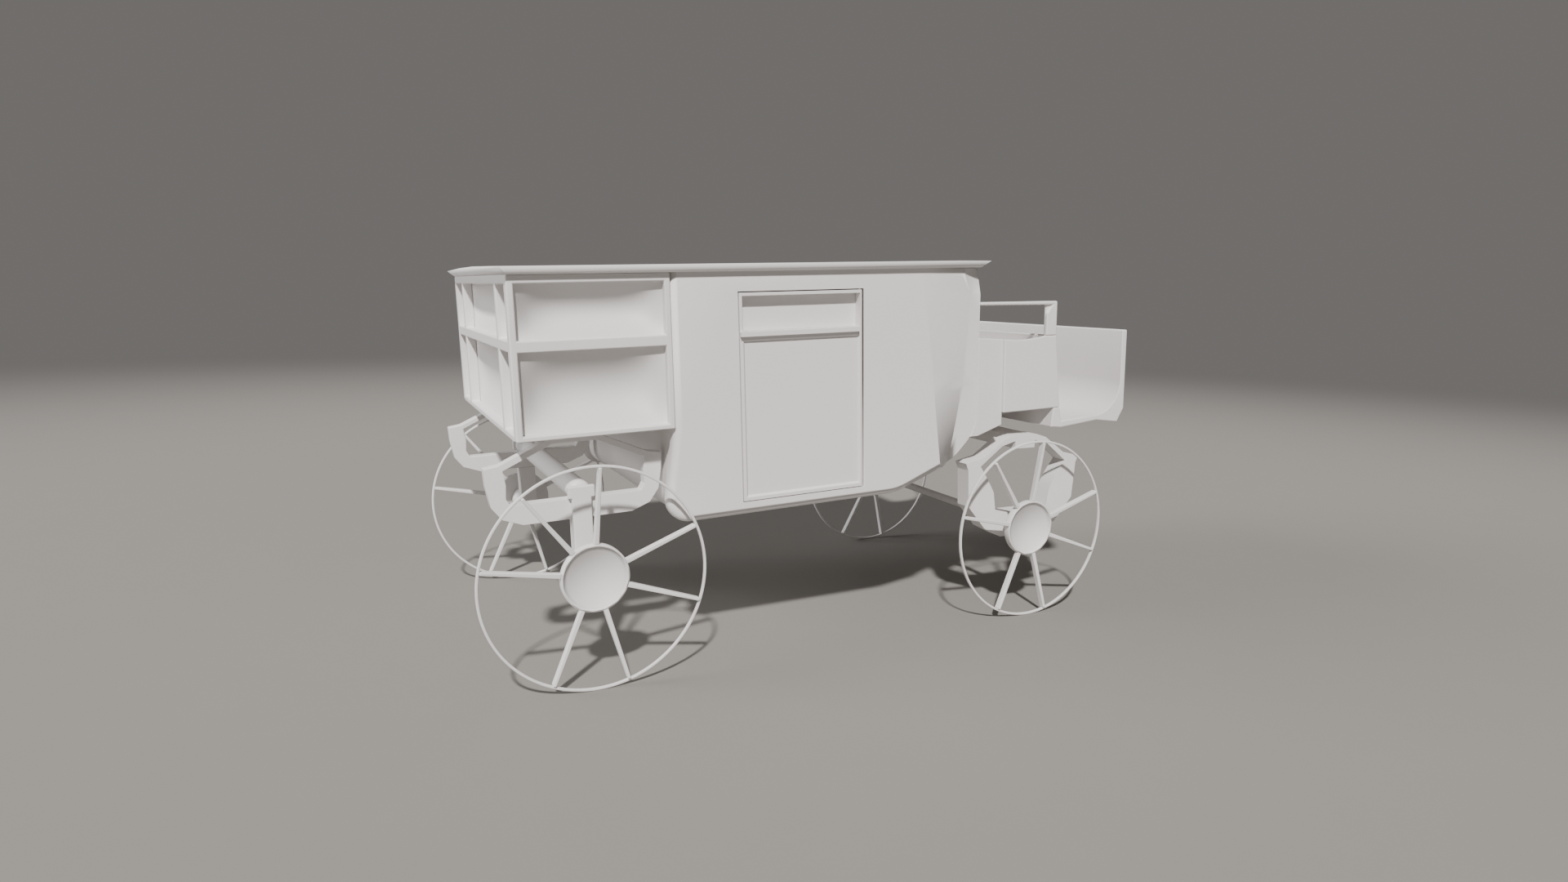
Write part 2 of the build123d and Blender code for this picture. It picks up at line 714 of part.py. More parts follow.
def wheel(name, radius, offset, barrel_inner_y, place):
    """Rim, tapered spokes and hub, drawn with +Z outboard and stood on the right side."""
    stand = place * Pos(0, -offset, 0) * Rot(90, 0, 0)
    rim_inner = radius - rim_depth
    rim = Cylinder(radius, rim_width) - Cylinder(rim_inner, rim_width)

    face_z = -hub_setback
    back_z = face_z - hub_width
    recess_z = face_z - hub_lip_depth
    bore_z = recess_z - hub_face_wall
    barrel_z = barrel_inner_y - offset
    lip_radius = hub_radius - hub_lip_width
    outline = Polyline(
        (0, bore_z),
        (axle_radius + running_gap, bore_z),
        (axle_radius + running_gap, barrel_z),
        (barrel_radius, barrel_z),
        (barrel_radius, back_z),
        (hub_radius, back_z),
        (hub_radius, face_z),
        (lip_radius, face_z),
        (lip_radius, recess_z),
    )
    out, up = hub_dome_shares
    outline += Polyline(
        (lip_radius, recess_z),
        (out * lip_radius, recess_z + up * hub_dome_rise),
        (0, recess_z + hub_dome_rise),
        (0, bore_z),
    )
    profile = make_face(outline)
    hub = revolve(Plane.XZ * profile, Axis.Z)

    foot_z = -spoke_dish
    foot = Plane(origin=(hub_radius - overrun, 0, foot_z), z_dir=(1, 0, 0))
    tip = Plane(origin=(rim_inner + overrun, 0, 0), z_dir=(1, 0, 0))
    spoke = loft(
        [
            foot * Rectangle(spoke_hub_width, spoke_depth),
            tip * Rectangle(spoke_rim_width, spoke_rim_depth),
        ]
    )
    spoke = (spoke & Cylinder(rim_inner, 2 * offset)) - Cylinder(hub_radius, 2 * offset)
    spokes = Compound(children=[Rot(0, 0, angle) * spoke for angle in spoke_angles])
    pair(f"{name}_rim", rim, stand)
    pair(f"{name}_spokes", spokes, stand)
    pair(f"{name}_hub", hub, stand)


wheel(
    "rear_wheel",
    rear_wheel_radius,
    rear_wheel_offset,
    hanger_outer_y + wheel_side_gap,
    body_place,
)
wheel(
    "front_wheel",
    front_wheel_radius,
    front_wheel_offset,
    front_spring_outer_y + wheel_side_gap,
    fore_place,
)

os.makedirs("parts", exist_ok=True)
for name, piece in nodes.items():
    export_step(piece, f"parts/{name}.step")
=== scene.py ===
import json
import math

import bmesh
import bpy
from mathutils import Matrix, Vector

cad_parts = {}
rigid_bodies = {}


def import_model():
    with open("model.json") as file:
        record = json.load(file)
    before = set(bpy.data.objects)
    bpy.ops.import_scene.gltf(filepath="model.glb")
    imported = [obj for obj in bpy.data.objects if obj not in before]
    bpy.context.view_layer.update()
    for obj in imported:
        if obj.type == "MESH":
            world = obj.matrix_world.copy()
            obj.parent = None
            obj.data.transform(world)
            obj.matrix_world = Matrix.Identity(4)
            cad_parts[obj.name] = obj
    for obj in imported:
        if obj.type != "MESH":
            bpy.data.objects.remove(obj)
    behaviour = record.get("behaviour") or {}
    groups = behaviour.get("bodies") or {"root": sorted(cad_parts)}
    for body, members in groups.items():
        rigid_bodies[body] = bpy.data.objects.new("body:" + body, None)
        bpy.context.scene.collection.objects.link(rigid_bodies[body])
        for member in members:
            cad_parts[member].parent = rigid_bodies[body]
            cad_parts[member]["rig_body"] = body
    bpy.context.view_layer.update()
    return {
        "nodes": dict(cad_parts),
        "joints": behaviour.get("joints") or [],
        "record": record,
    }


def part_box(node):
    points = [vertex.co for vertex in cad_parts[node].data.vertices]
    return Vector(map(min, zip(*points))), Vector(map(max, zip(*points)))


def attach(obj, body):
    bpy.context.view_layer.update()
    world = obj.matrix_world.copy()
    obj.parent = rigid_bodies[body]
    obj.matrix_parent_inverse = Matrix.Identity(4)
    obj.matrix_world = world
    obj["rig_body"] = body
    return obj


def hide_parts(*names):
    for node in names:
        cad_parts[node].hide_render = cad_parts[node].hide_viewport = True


bl_info = {
    "name": "Horse Drawn Carriage",
    "version": (1, 0, 0),
    "blender": (4, 5, 0),
    "location": "View3D > Sidebar > Carriage",
    "description": "Dresses a closed carriage with its boot, driver's seat, springs and wheels",
    "category": "Object",
}

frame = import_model()

MERGE_DISTANCE = 1e-5
LEVEL_DISTANCE = 1e-4
FLAT_ANGLE = math.radians(0.6)
ARRIS_ANGLE = math.radians(32)
PANEL_ARRIS_ANGLE = math.radians(50)
QUARTER_ARRIS_ANGLE = math.radians(55)
SQUARE_ANGLE = math.radians(60)
FACING = 0.9
SIDES = ("right", "left")
OUTWARD = {"right": Vector((0, -1, 0)), "left": Vector((0, 1, 0))}
MIN_BAY = 0.1
BAY_STEPS = 14
HUB_RINGS = 8
AXLES = ("rear", "front")
MIX_FIRST = 6
MIX_SECOND = 7
MIX_RESULT = 2
SENSOR_WIDTH = 36
VIEW_REACH = 200
KEY_FROM = (-0.4, -0.77, 0.86)
REAR_FROM = (-1.0, 0.3, 0.4)
KEY_TINT = (1.0, 0.985, 0.965)
REAR_TINT = (0.97, 0.98, 1.0)
KEY_SPREAD = 3
REAR_SPREAD = 30


# Shader building


class Signal:
    """A number that varies over a surface, usable in Python sums."""

    def __init__(self, tree, socket):
        self.tree = tree
        self.socket = socket

    def _join(self, operation, first, second):
        node = self.tree.nodes.new("ShaderNodeMath")
        node.operation = operation
        for socket, value in zip(node.inputs, (first, second)):
            if isinstance(value, Signal):
                self.tree.links.new(value.socket, socket)
            else:
                socket.default_value = value
        return Signal(self.tree, node.outputs[0])

    def __add__(self, other):
        return self._join("ADD", self, other)

    def __radd__(self, other):
        return self._join("ADD", other, self)

    def __mul__(self, other):
        return self._join("MULTIPLY", self, other)

    def __rmul__(self, other):
        return self._join("MULTIPLY", other, self)


class Finish:
    """A material and the nodes that make it."""

    def __init__(self, name):
        self.material = bpy.data.materials.new(name)
        self.material.use_nodes = True
        self.tree = self.material.node_tree
        self.shader = self.tree.nodes["Principled BSDF"]

    def node(self, kind, settings=None, **inputs):
        """Adds a node: its settings first, then the values or links of its sockets."""
        made = self.tree.nodes.new(kind)
        for key, value in (settings or {}).items():
            setattr(made, key, value)
        self.feed(made, inputs)
        return made

    def feed(self, node, inputs):
        """Sets or links sockets named with underscores for spaces."""
        for key, value in inputs.items():
            socket = node.inputs[key.replace("_", " ")]
            if isinstance(value, Signal):
                self.tree.links.new(value.socket, socket)
            elif isinstance(value, bpy.types.NodeSocket):
                self.tree.links.new(value, socket)
            else:
                socket.default_value = value

    def signal(self, socket):
        return Signal(self.tree, socket)

    def tone(self, share, shade, colour):
        """A colour between two others."""
        mix = self.node("ShaderNodeMix", {"data_type": "RGBA"}, Factor=share)
        mix.inputs[MIX_FIRST].default_value = (*shade, 1)
        mix.inputs[MIX_SECOND].default_value = (*colour, 1)
        return mix.outputs[MIX_RESULT]

    def place(self, stretch=(1, 1, 1)):
        """The piece's own coordinates in metres, stretched along each axis."""
        coordinates = self.node("ShaderNodeTexCoord")
        mapping = self.node(
            "ShaderNodeMapping", Vector=coordinates.outputs["Object"], Scale=stretch
        )
        return mapping.outputs["Vector"]

    def noise(self, scale, detail=3, roughness=0.5, stretch=(1, 1, 1)):
        made = self.node(
            "ShaderNodeTexNoise",
            Vector=self.place(stretch),
            Scale=scale,
            Detail=detail,
            Roughness=roughness,
        )
        return self.signal(made.outputs["Fac"])


def paint(name, colour, shade, roughness, strokes, stroke_stretch, depth):
    """Hand-laid oil paint: slow drifts of tone, faint brush strokes and a soft sheen."""
    finish = Finish(name)
    drift = finish.noise(scale=1.6, detail=4)
    mottle = finish.noise(scale=38, detail=5, roughness=0.6)
    stroke = finish.noise(strokes, detail=4, roughness=0.65, stretch=stroke_stretch)
    lightness = drift * 0.5 + mottle * 0.25 + stroke * 0.25
    height = stroke * 0.7 + mottle * 0.3
    unevenness = 0.16
    bump = finish.node("ShaderNodeBump", Strength=0.35, Distance=depth, Height=height)
    finish.feed(
        finish.shader,
        {
            "Base_Color": finish.tone(lightness, shade, colour),
            "Roughness": mottle * unevenness + (roughness - unevenness / 2),
            "Normal": bump.outputs["Normal"],
        },
    )
    finish.shader.inputs["Specular IOR Level"].default_value = 0.35
    return finish.material


# Mesh building


def merged_mesh(node):
    """A node's triangles joined into the flat faces that they came from."""
    bm = bmesh.new()
    bm.from_mesh(frame["nodes"][node].data)
    bmesh.ops.remove_doubles(bm, verts=bm.verts, dist=MERGE_DISTANCE)
    bmesh.ops.dissolve_limit(
        bm, angle_limit=FLAT_ANGLE, verts=bm.verts, edges=bm.edges, delimit={"NORMAL"}
    )
    return bm


def sharp_edges(bm, angle):
    return [
        edge
        for edge in bm.edges
        if len(edge.link_faces) == 2 and edge.calc_face_angle(0) > angle
    ]


def round_edges(bm, edges, width, segments, clamp=True):
    """Rounds edges; unclamped, the width is kept even past short edges beside them."""
    bmesh.ops.bevel(
        bm,
        geom=edges,
        offset=width,
        offset_type="OFFSET",
        affect="EDGES",
        segments=segments,
        profile=0.5,
        material=-1,
        clamp_overlap=clamp,
        loop_slide=clamp,
    )


def lean_normals(mesh, leaning):
    """Sets each corner's normal to what leaning makes of its face, its vertex and itself."""
    leaned = []
    for polygon in mesh.polygons:
        for index in polygon.loop_indices:
            vertex = mesh.vertices[mesh.loops[index].vertex_index]
            leaned.append(leaning(polygon, vertex, mesh.corner_normals[index].vector))
    mesh.normals_split_custom_set(leaned)


def deepen_shade(mesh, out, factor, shown):
    """Leans the normals of a hollowed face by a factor, so that it shades as a deeper hollow."""
    hollow_facing = 0.8

    def leaning(polygon, vertex, normal):
        if polygon.normal.dot(out) < hollow_facing or not shown(polygon):
            return normal.copy()
        forth = normal.dot(out)
        return (out * forth + (normal - out * forth) * factor(vertex)).normalized()

    lean_normals(mesh, leaning)


def slot_of(node):
    """The record's material slot of a node."""
    for row in frame["record"]["subparts"]:
        if row["node"] == node:
            return row["material_slot"]
    raise RuntimeError(f"no slot for {node}")


def finished_piece(bm, node, material, sharp_angle):
    """Turns a mesh into the shown piece of a node, smooth but for its sharpest edges."""
    mesh = bpy.data.meshes.new(node)
    bm.to_mesh(mesh)
    bm.free()
    mesh.polygons.foreach_set("use_smooth", [True] * len(mesh.polygons))
    mesh.set_sharp_from_angle(angle=sharp_angle)
    mesh.materials.append(material)
    piece = bpy.data.objects.new(f"{node}_dressed", mesh)
    bpy.context.scene.collection.objects.link(piece)
    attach(piece, frame["nodes"][node]["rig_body"])
    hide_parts(node)
    slot_of(node)
    return piece


def weigh_normals(piece, group=""):
    """Keeps broad faces flat in shade between their rounded edges."""
    weighted = piece.modifiers.new("Face-weighted normals", "WEIGHTED_NORMAL")
    weighted.keep_sharp = True
    weighted.vertex_group = group


def eased_piece(node, material, width, segments=2, skip=lambda edge: False):
    """A node's own shape with rounded arrises and a painted finish."""
    bm = merged_mesh(node)
    edges = [edge for edge in sharp_edges(bm, ARRIS_ANGLE) if not skip(edge)]
    round_edges(bm, edges, width, segments)
    piece = finished_piece(bm, node, material, ARRIS_ANGLE)
    weigh_normals(piece)
    return piece


def body_axes():
    """Forward and up along the body, which stands slightly nose up."""
    swing = next(j for j in frame["joints"] if j["name"] == "door_right_swing")
    up = Vector(swing["axis"])
    return Vector((up.z, 0, -up.x)), up


def levels(node, axis):
    """The places along an axis where a node has corners."""
    places = {round(v.co.dot(axis), 4) for v in frame["nodes"][node].data.vertices}
    return sorted(places)


def bays(places):
    """The wide spans between neighbouring places."""
    return [(a, b) for a, b in zip(places, places[1:]) if b - a > MIN_BAY]


def dish(u, v, bays_u, bays_v, depth):
    """Depth of a hollow that is deepest in the middle of each bay."""
    for low_u, high_u in bays_u:
        for low_v, high_v in bays_v:
            if low_u <= u <= high_u and low_v <= v <= high_v:
                share_u = 2 * (u - low_u) / (high_u - low_u) - 1
                share_v = 2 * (v - low_v) / (high_v - low_v) - 1
                return depth * (1 - share_u**4) * (1 - share_v**2)
    return 0


def stations(spans, steps):
    """Grid lines: many across each bay and none between bays."""
    lines = set()
    for low, high in spans:
        lines |= {round(low + (high - low) * i / steps, 5) for i in range(steps + 1)}
    return sorted(lines)


def dished_sheet(bm, frame_axes, limits, bays_u, bays_v, depth):
    """Adds one board whose outer face is hollowed in each bay."""
    along, up, out = frame_axes
    (low_u, high_u), (low_v, high_v), (low_w, high_w) = limits
    us = sorted({low_u, high_u, *stations(bays_u, BAY_STEPS)})
    vs = sorted({low_v, high_v, *stations(bays_v, BAY_STEPS)})
    columns, rows = len(us) - 1, len(vs) - 1
    face = bmesh.ops.create_grid(bm, x_segments=columns, y_segments=rows, size=0.5)["verts"]
    for vert in face:
        u = us[round((vert.co.x + 0.5) * columns)]
        v = vs[round((vert.co.y + 0.5) * rows)]
        vert.co = along * u + up * v + out * (high_w - dish(u, v, bays_u, bays_v, depth))
    rim = [edge for edge in bm.edges if edge.is_boundary]
    walls = bmesh.ops.extrude_edge_only(bm, edges=rim)["geom"]
    for item in walls:
        if isinstance(item, bmesh.types.BMVert):
            item.co += out * (low_w - high_w)
    back = [item for item in walls if isinstance(item, bmesh.types.BMEdge)]
    bmesh.ops.contextual_create(bm, geom=back)


def dished_piece(node, along, up, out, frame_node, depth):
    """A node's boards with their bays hollowed, behind the frame that parts the bays."""
    bm = bmesh.new()
    places_u, places_v, places_w = (levels(node, axis) for axis in (along, up, out))
    if frame_node:
        bays_u = bays(levels(frame_node, along))
        bays_v = bays(levels(frame_node, up))
        boards = [(places_v[0], places_v[-1])]
    else:
        bays_u = [(places_u[0], places_u[-1])]
        boards = bays_v = bays(places_v)
    for low_v, high_v in boards:
        inside = [span for span in bays_v if low_v <= span[0] and span[1] <= high_v]
        limits = (
            (places_u[0], places_u[-1]),
            (low_v, high_v),
            (places_w[0], places_w[-1]),
        )
        dished_sheet(bm, (along, up, out), limits, bays_u, inside, depth)
    bmesh.ops.recalc_face_normals(bm, faces=bm.faces)
    piece = finished_piece(bm, node, coach_paint(), PANEL_ARRIS_ANGLE)
    factor = settings()[1].hollow_shade
    deepen_shade(piece.data, out, lambda vertex: factor, lambda polygon: True)
    return piece


# Settings


class CarriagePaint(bpy.types.PropertyGroup):
    body_colour: bpy.props.FloatVectorProperty(
        name="Body colour",
        description="Off-white of the coachwork",
        default=(0.80, 0.775, 0.765),
        subtype="COLOR",
        min=0,
        max=1,
    )
    body_shade: bpy.props.FloatVectorProperty(
        name="Body shade",
        description="Slightly darker tone of the same paint",
        default=(0.735, 0.71, 0.70),
        subtype="COLOR",
        min=0,
        max=1,
    )
    gear_colour: bpy.props.FloatVectorProperty(
        name="Gear colour",
        description="Off-white of the springs, axles and wheels",
        default=(0.79, 0.77, 0.76),
        subtype="COLOR",
        min=0,
        max=1,
    )
    gear_shade: bpy.props.FloatVectorProperty(
        name="Gear shade",
        description="Slightly darker tone of the gear's paint",
        default=(0.71, 0.69, 0.68),
        subtype="COLOR",
        min=0,
        max=1,
    )
    roughness: bpy.props.FloatProperty(
        name="Roughness",
        description="How matt the paint is",
        default=0.55,
        min=0,
        max=1,
        subtype="FACTOR",
    )


class CarriageEdges(bpy.types.PropertyGroup):
    board: bpy.props.FloatProperty(
        name="Board edge",
        description="Rounding of the coachwork's arrises",
        default=0.002,
        min=0,
        subtype="DISTANCE",
        unit="LENGTH",
    )
    moulding: bpy.props.FloatProperty(
        name="Moulding edge",
        description="Rounding of thin rails and posts",
        default=0.007,
        min=0,
        subtype="DISTANCE",
        unit="LENGTH",
    )
    belly: bpy.props.FloatProperty(
        name="Belly edge",
        description="Rounding of the cabin's foot and back corners",
        default=0.035,
        min=0,
        subtype="DISTANCE",
        unit="LENGTH",
    )
    panel_dish: bpy.props.FloatProperty(
        name="Panel dish",
        description="Hollow in the middle of each boot panel",
        default=0.011,
        min=0,
        max=0.013,
        subtype="DISTANCE",
        unit="LENGTH",
    )
    hollow_shade: bpy.props.FloatProperty(
        name="Hollow shade",
        description="How much deeper the boot's hollows shade than they are",
        default=10.0,
        min=1,
    )
    quarter_shade: bpy.props.FloatProperty(
        name="Quarter shade",
        description="How much steeper the front quarters shade than they are",
        default=6.0,
        min=1,
    )
    cornice: bpy.props.FloatProperty(
        name="Cornice edge",
        description="Rounding of the cornice's upper edge",
        default=0.016,
        min=0,
        subtype="DISTANCE",
        unit="LENGTH",
    )
    cornice_shade: bpy.props.FloatProperty(
        name="Cornice shade",
        description="How far the cornice's flank shades as if it faced the sky",
        default=1.0,
        min=0,
    )
    hub_dish: bpy.props.FloatProperty(
        name="Hub dish",
        description="Hollow of the hub's face",
        default=0.008,
        min=0,
        subtype="DISTANCE",
        unit="LENGTH",
    )
    hub_shade: bpy.props.FloatProperty(
        name="Hub shade",
        description="How much deeper the hub's face shades than it is",
        default=6.0,
        min=1,
    )
    forging: bpy.props.FloatProperty(
        name="Forging edge",
        description="Rounding of springs and hangers",
        default=0.006,
        min=0,
        subtype="DISTANCE",
        unit="LENGTH",
    )
    beam_end: bpy.props.FloatProperty(
        name="Beam end",
        description="Rounding of the rear beam's ends",
        default=0.022,
        min=0,
        subtype="DISTANCE",
        unit="LENGTH",
    )
    wheel: bpy.props.FloatProperty(
        name="Wheel edge",
        description="Rounding of rims and spokes",
        default=0.004,
        min=0,
        subtype="DISTANCE",
        unit="LENGTH",
    )


class CarriageStage(bpy.types.PropertyGroup):
    camera_place: bpy.props.FloatVectorProperty(
        name="Camera place",
        description="Where the camera stands",
        default=(-2.324, -4.745, 1.7901),
        subtype="TRANSLATION",
        unit="LENGTH",
    )
    camera_aim: bpy.props.FloatVectorProperty(
        name="Camera aim",
        description="Direction that the camera looks along",
        default=(0.43884, 0.88451, -0.1605),
        subtype="DIRECTION",
    )
    camera_up: bpy.props.FloatVectorProperty(
        name="Camera up",
        description="Direction of the top of the picture",
        default=(0.05014, 0.15182, 0.98714),
        subtype="DIRECTION",
    )
    lens: bpy.props.FloatProperty(
        name="Lens",
        description="Focal length in millimetres",
        default=20.96,
        min=1,
    )
    floor_size: bpy.props.FloatProperty(
        name="Floor size",
        description="Width of the studio floor",
        default=160,
        min=1,
        subtype="DISTANCE",
        unit="LENGTH",
    )
    floor_near: bpy.props.FloatProperty(
        name="Floor edge",
        description="Distance at which the floor starts to melt into the backdrop",
        default=5,
        min=0,
        subtype="DISTANCE",
        unit="LENGTH",
    )
    floor_far: bpy.props.FloatProperty(
        name="Backdrop edge",
        description="Distance at which only the backdrop is left",
        default=22,
        min=0,
        subtype="DISTANCE",
        unit="LENGTH",
    )
    floor_colour: bpy.props.FloatVectorProperty(
        name="Floor colour",
        description="Pale grey of the studio floor",
        default=(0.235, 0.222, 0.205),
        subtype="COLOR",
        min=0,
        max=1,
    )
    backdrop_colour: bpy.props.FloatVectorProperty(
        name="Backdrop colour",
        description="Even light from all round, seen as the backdrop",
        default=(0.165, 0.156, 0.15),
        subtype="COLOR",
        min=0,
        max=1,
    )
    key_strength: bpy.props.FloatProperty(
        name="Key light",
        description="Strength of the high light on the near side",
        default=5.4,
        min=0,
    )
    rear_strength: bpy.props.FloatProperty(
        name="Rear light",
        description="Strength of the soft light from behind",
        default=2.0,
        min=0,
    )


# Operators


def settings():
    return bpy.context.scene.carriage_paint, bpy.context.scene.carriage_edges


def coach_paint():
    colours = settings()[0]
    return bpy.data.materials.get("Coach paint") or paint(
        "Coach paint",
        colours.body_colour,
        colours.body_shade,
        colours.roughness,
        strokes=26,
        stroke_stretch=(0.25, 1, 2.6),
        depth=0.0006,
    )


def gear_paint():
    colours = settings()[0]
    return bpy.data.materials.get("Gear paint") or paint(
        "Gear paint",
        colours.gear_colour,
        colours.gear_shade,
        colours.roughness,
        strokes=60,
        stroke_stretch=(1, 1, 1),
        depth=0.0008,
    )


def roof_piece(edges):
    """The roof with a well rounded upper edge on its cornice."""
    up = body_axes()[1]
    bm = merged_mesh("roof")
    low = min(v.co.dot(up) for v in bm.verts)
    high = max(v.co.dot(up) for v in bm.verts)
    upper = [
        edge
        for edge in sharp_edges(bm, ARRIS_ANGLE)
        if all(v.co.dot(up) > (low + high) / 2 for v in edge.verts)
    ]
    round_edges(bm, upper, edges.cornice, 5)
    piece = finished_piece(bm, "roof", coach_paint(), ARRIS_ANGLE)
    foot_share = 0.4

    def leaning(polygon, vertex, normal):
        if abs(polygon.normal.dot(up)) > FACING:
            return normal.copy()
        share = foot_share + (1 - foot_share) * (vertex.co.dot(up) - low) / (high - low)
        return (normal + up * share * edges.cornice_shade).normalized()

    lean_normals(piece.data, leaning)
    return piece


def cabin_side_piece(side, edges):
    """A cabin wall with a rounded foot and a softly hollowed front quarter."""
    node = f"cabin_side_{side}"
    forward, up = body_axes()
    outward = OUTWARD[side]
    bm = merged_mesh(node)
    face_y = max(v.co.dot(outward) for v in bm.verts)
    door_low, door_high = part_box(f"door_{side}")
    door_reach = 0.03
    top = max(v.co.dot(up) for v in bm.verts)

    def sunk(vertex):
        """How far a point lies in from the wall's flat face."""
        return abs(vertex.co.dot(outward) - face_y)

    def on_face(edge):
        return all(sunk(v) < LEVEL_DISTANCE for v in edge.verts)

    def round_door(edge):
        return all(
            door_low[0] - door_reach < v.co.x < door_high[0] + door_reach
            and door_low[2] - door_reach < v.co.z < door_high[2] + door_reach
            for v in edge.verts
        )

    def at_top(edge):
        return all(abs(v.co.dot(up) - top) < LEVEL_DISTANCE for v in edge.verts)

    steep = [edge for edge in sharp_edges(bm, SQUARE_ANGLE) if on_face(edge)]
    foot = [edge for edge in steep if not round_door(edge) and not at_top(edge)]
    round_edges(bm, foot, edges.belly, 6, clamp=False)
    steep = [edge for edge in sharp_edges(bm, SQUARE_ANGLE) if on_face(edge)]
    doorway = [edge for edge in steep if round_door(edge)]
    round_edges(bm, doorway, edges.board, 2)
    piece = finished_piece(bm, node, coach_paint(), QUARTER_ARRIS_ANGLE)
    mesh = piece.data

    front_facing = 0.97
    front_edges = {
        key
        for polygon in mesh.polygons
        if polygon.normal.dot(forward) > front_facing
        for key in polygon.edge_keys
    }
    for edge in mesh.edges:
        if edge.key in front_edges:
            edge.use_edge_sharp = True
    flat = piece.vertex_groups.new(name="flat")
    flat.add([v.index for v in mesh.vertices if sunk(v) < 2 * LEVEL_DISTANCE], 1, "REPLACE")
    weigh_normals(piece, "flat")

    quarter_start = door_high[0] + door_reach
    quarter_depth = 0.001
    hollowed = {
        v.index for v in mesh.vertices if v.co.x > quarter_start and sunk(v) > quarter_depth
    }
    foot_level = min(mesh.vertices[i].co.dot(up) for i in hollowed)

    def steepness(vertex):
        """From a third of the factor at the cornice to all of it at the quarter's foot."""
        share = (top - vertex.co.dot(up)) / (top - foot_level)
        return edges.quarter_shade * (1 + 2 * min(1, share) ** 2) / 3

    deepen_shade(
        mesh, outward, steepness, lambda polygon: not hollowed.isdisjoint(polygon.vertices)
    )
    return piece


class CARRIAGE_OT_coachwork(bpy.types.Operator):
    """Dress the cabin, the boot and the roof"""

    bl_idname = "carriage.coachwork"
    bl_label = "Coachwork"

    def execute(self, context):
        edges = settings()[1]
        forward, up = body_axes()
        roof_piece(edges)
        for node in ("cabin_back_wall", "cabin_front_wall", "cabin_tub", "boot_floor"):
            eased_piece(node, coach_paint(), edges.board)
        seam_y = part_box("boot_rear_frame")[1][1]
        rails = ["boot_rear_frame"] + [f"boot_side_frame_{side}" for side in SIDES]
        for node in rails:
            eased_piece(
                node,
                coach_paint(),
                edges.moulding,
                segments=4,
                skip=lambda edge: all(
                    abs(abs(vert.co.y) - seam_y) < LEVEL_DISTANCE for vert in edge.verts
                ),
            )
        dished_piece(
            "boot_rear_sheet", Vector((0, 1, 0)), up, -forward, "boot_rear_frame", edges.panel_dish
        )
        for side in SIDES:
            dished_piece(
                f"boot_side_panels_{side}", forward, up, OUTWARD[side], None, edges.panel_dish
            )
            cabin_side_piece(side, edges)
        return {"FINISHED"}


class CARRIAGE_OT_doors(bpy.types.Operator):
    """Dress both doors and their blinds"""

    bl_idname = "carriage.doors"
    bl_label = "Doors"

    def execute(self, context):
        edges = settings()[1]
        for side in SIDES:
            for node in (f"door_{side}", f"door_blind_{side}"):
                eased_piece(node, coach_paint(), edges.board)
        return {"FINISHED"}


class CARRIAGE_OT_driver_place(bpy.types.Operator):
    """Dress the driver's seat, arm rails, footboard and dash"""

    bl_idname = "carriage.driver_place"
    bl_label = "Driver's place"

    def execute(self, context):
        edges = settings()[1]
        nodes = ["seat_bench", "seat_bottom", "seat_front_board", "dash_and_footboard"]
        for side in SIDES:
            nodes += [f"neck_side_{side}", f"seat_side_{side}", f"arm_rail_{side}"]
        for node in nodes:
            eased_piece(node, coach_paint(), edges.moulding)
        return {"FINISHED"}


class CARRIAGE_OT_running_gear(bpy.types.Operator):
    """Dress the springs, axles, hangers and turntable"""

    bl_idname = "carriage.running_gear"
    bl_label = "Running gear"

    def execute(self, context):
        edges = settings()[1]
        eased_piece("rear_axle_beam", gear_paint(), edges.beam_end, segments=6)
        nodes = ["front_axle", "front_bolster", "pole_jaws"]
        nodes += ["turntable_lower", "turntable_upper"]
        for side in SIDES:
            nodes += [f"rear_spring_{side}", f"front_spring_{side}", f"rear_hanger_{side}"]
        for node in nodes:
            eased_piece(node, gear_paint(), edges.forging, segments=3)
        return {"FINISHED"}


def axis_distance(point, centre):
    """Distance from a wheel's axis, which runs across the carriage."""
    return math.hypot(point.x - centre.x, point.z - centre.z)


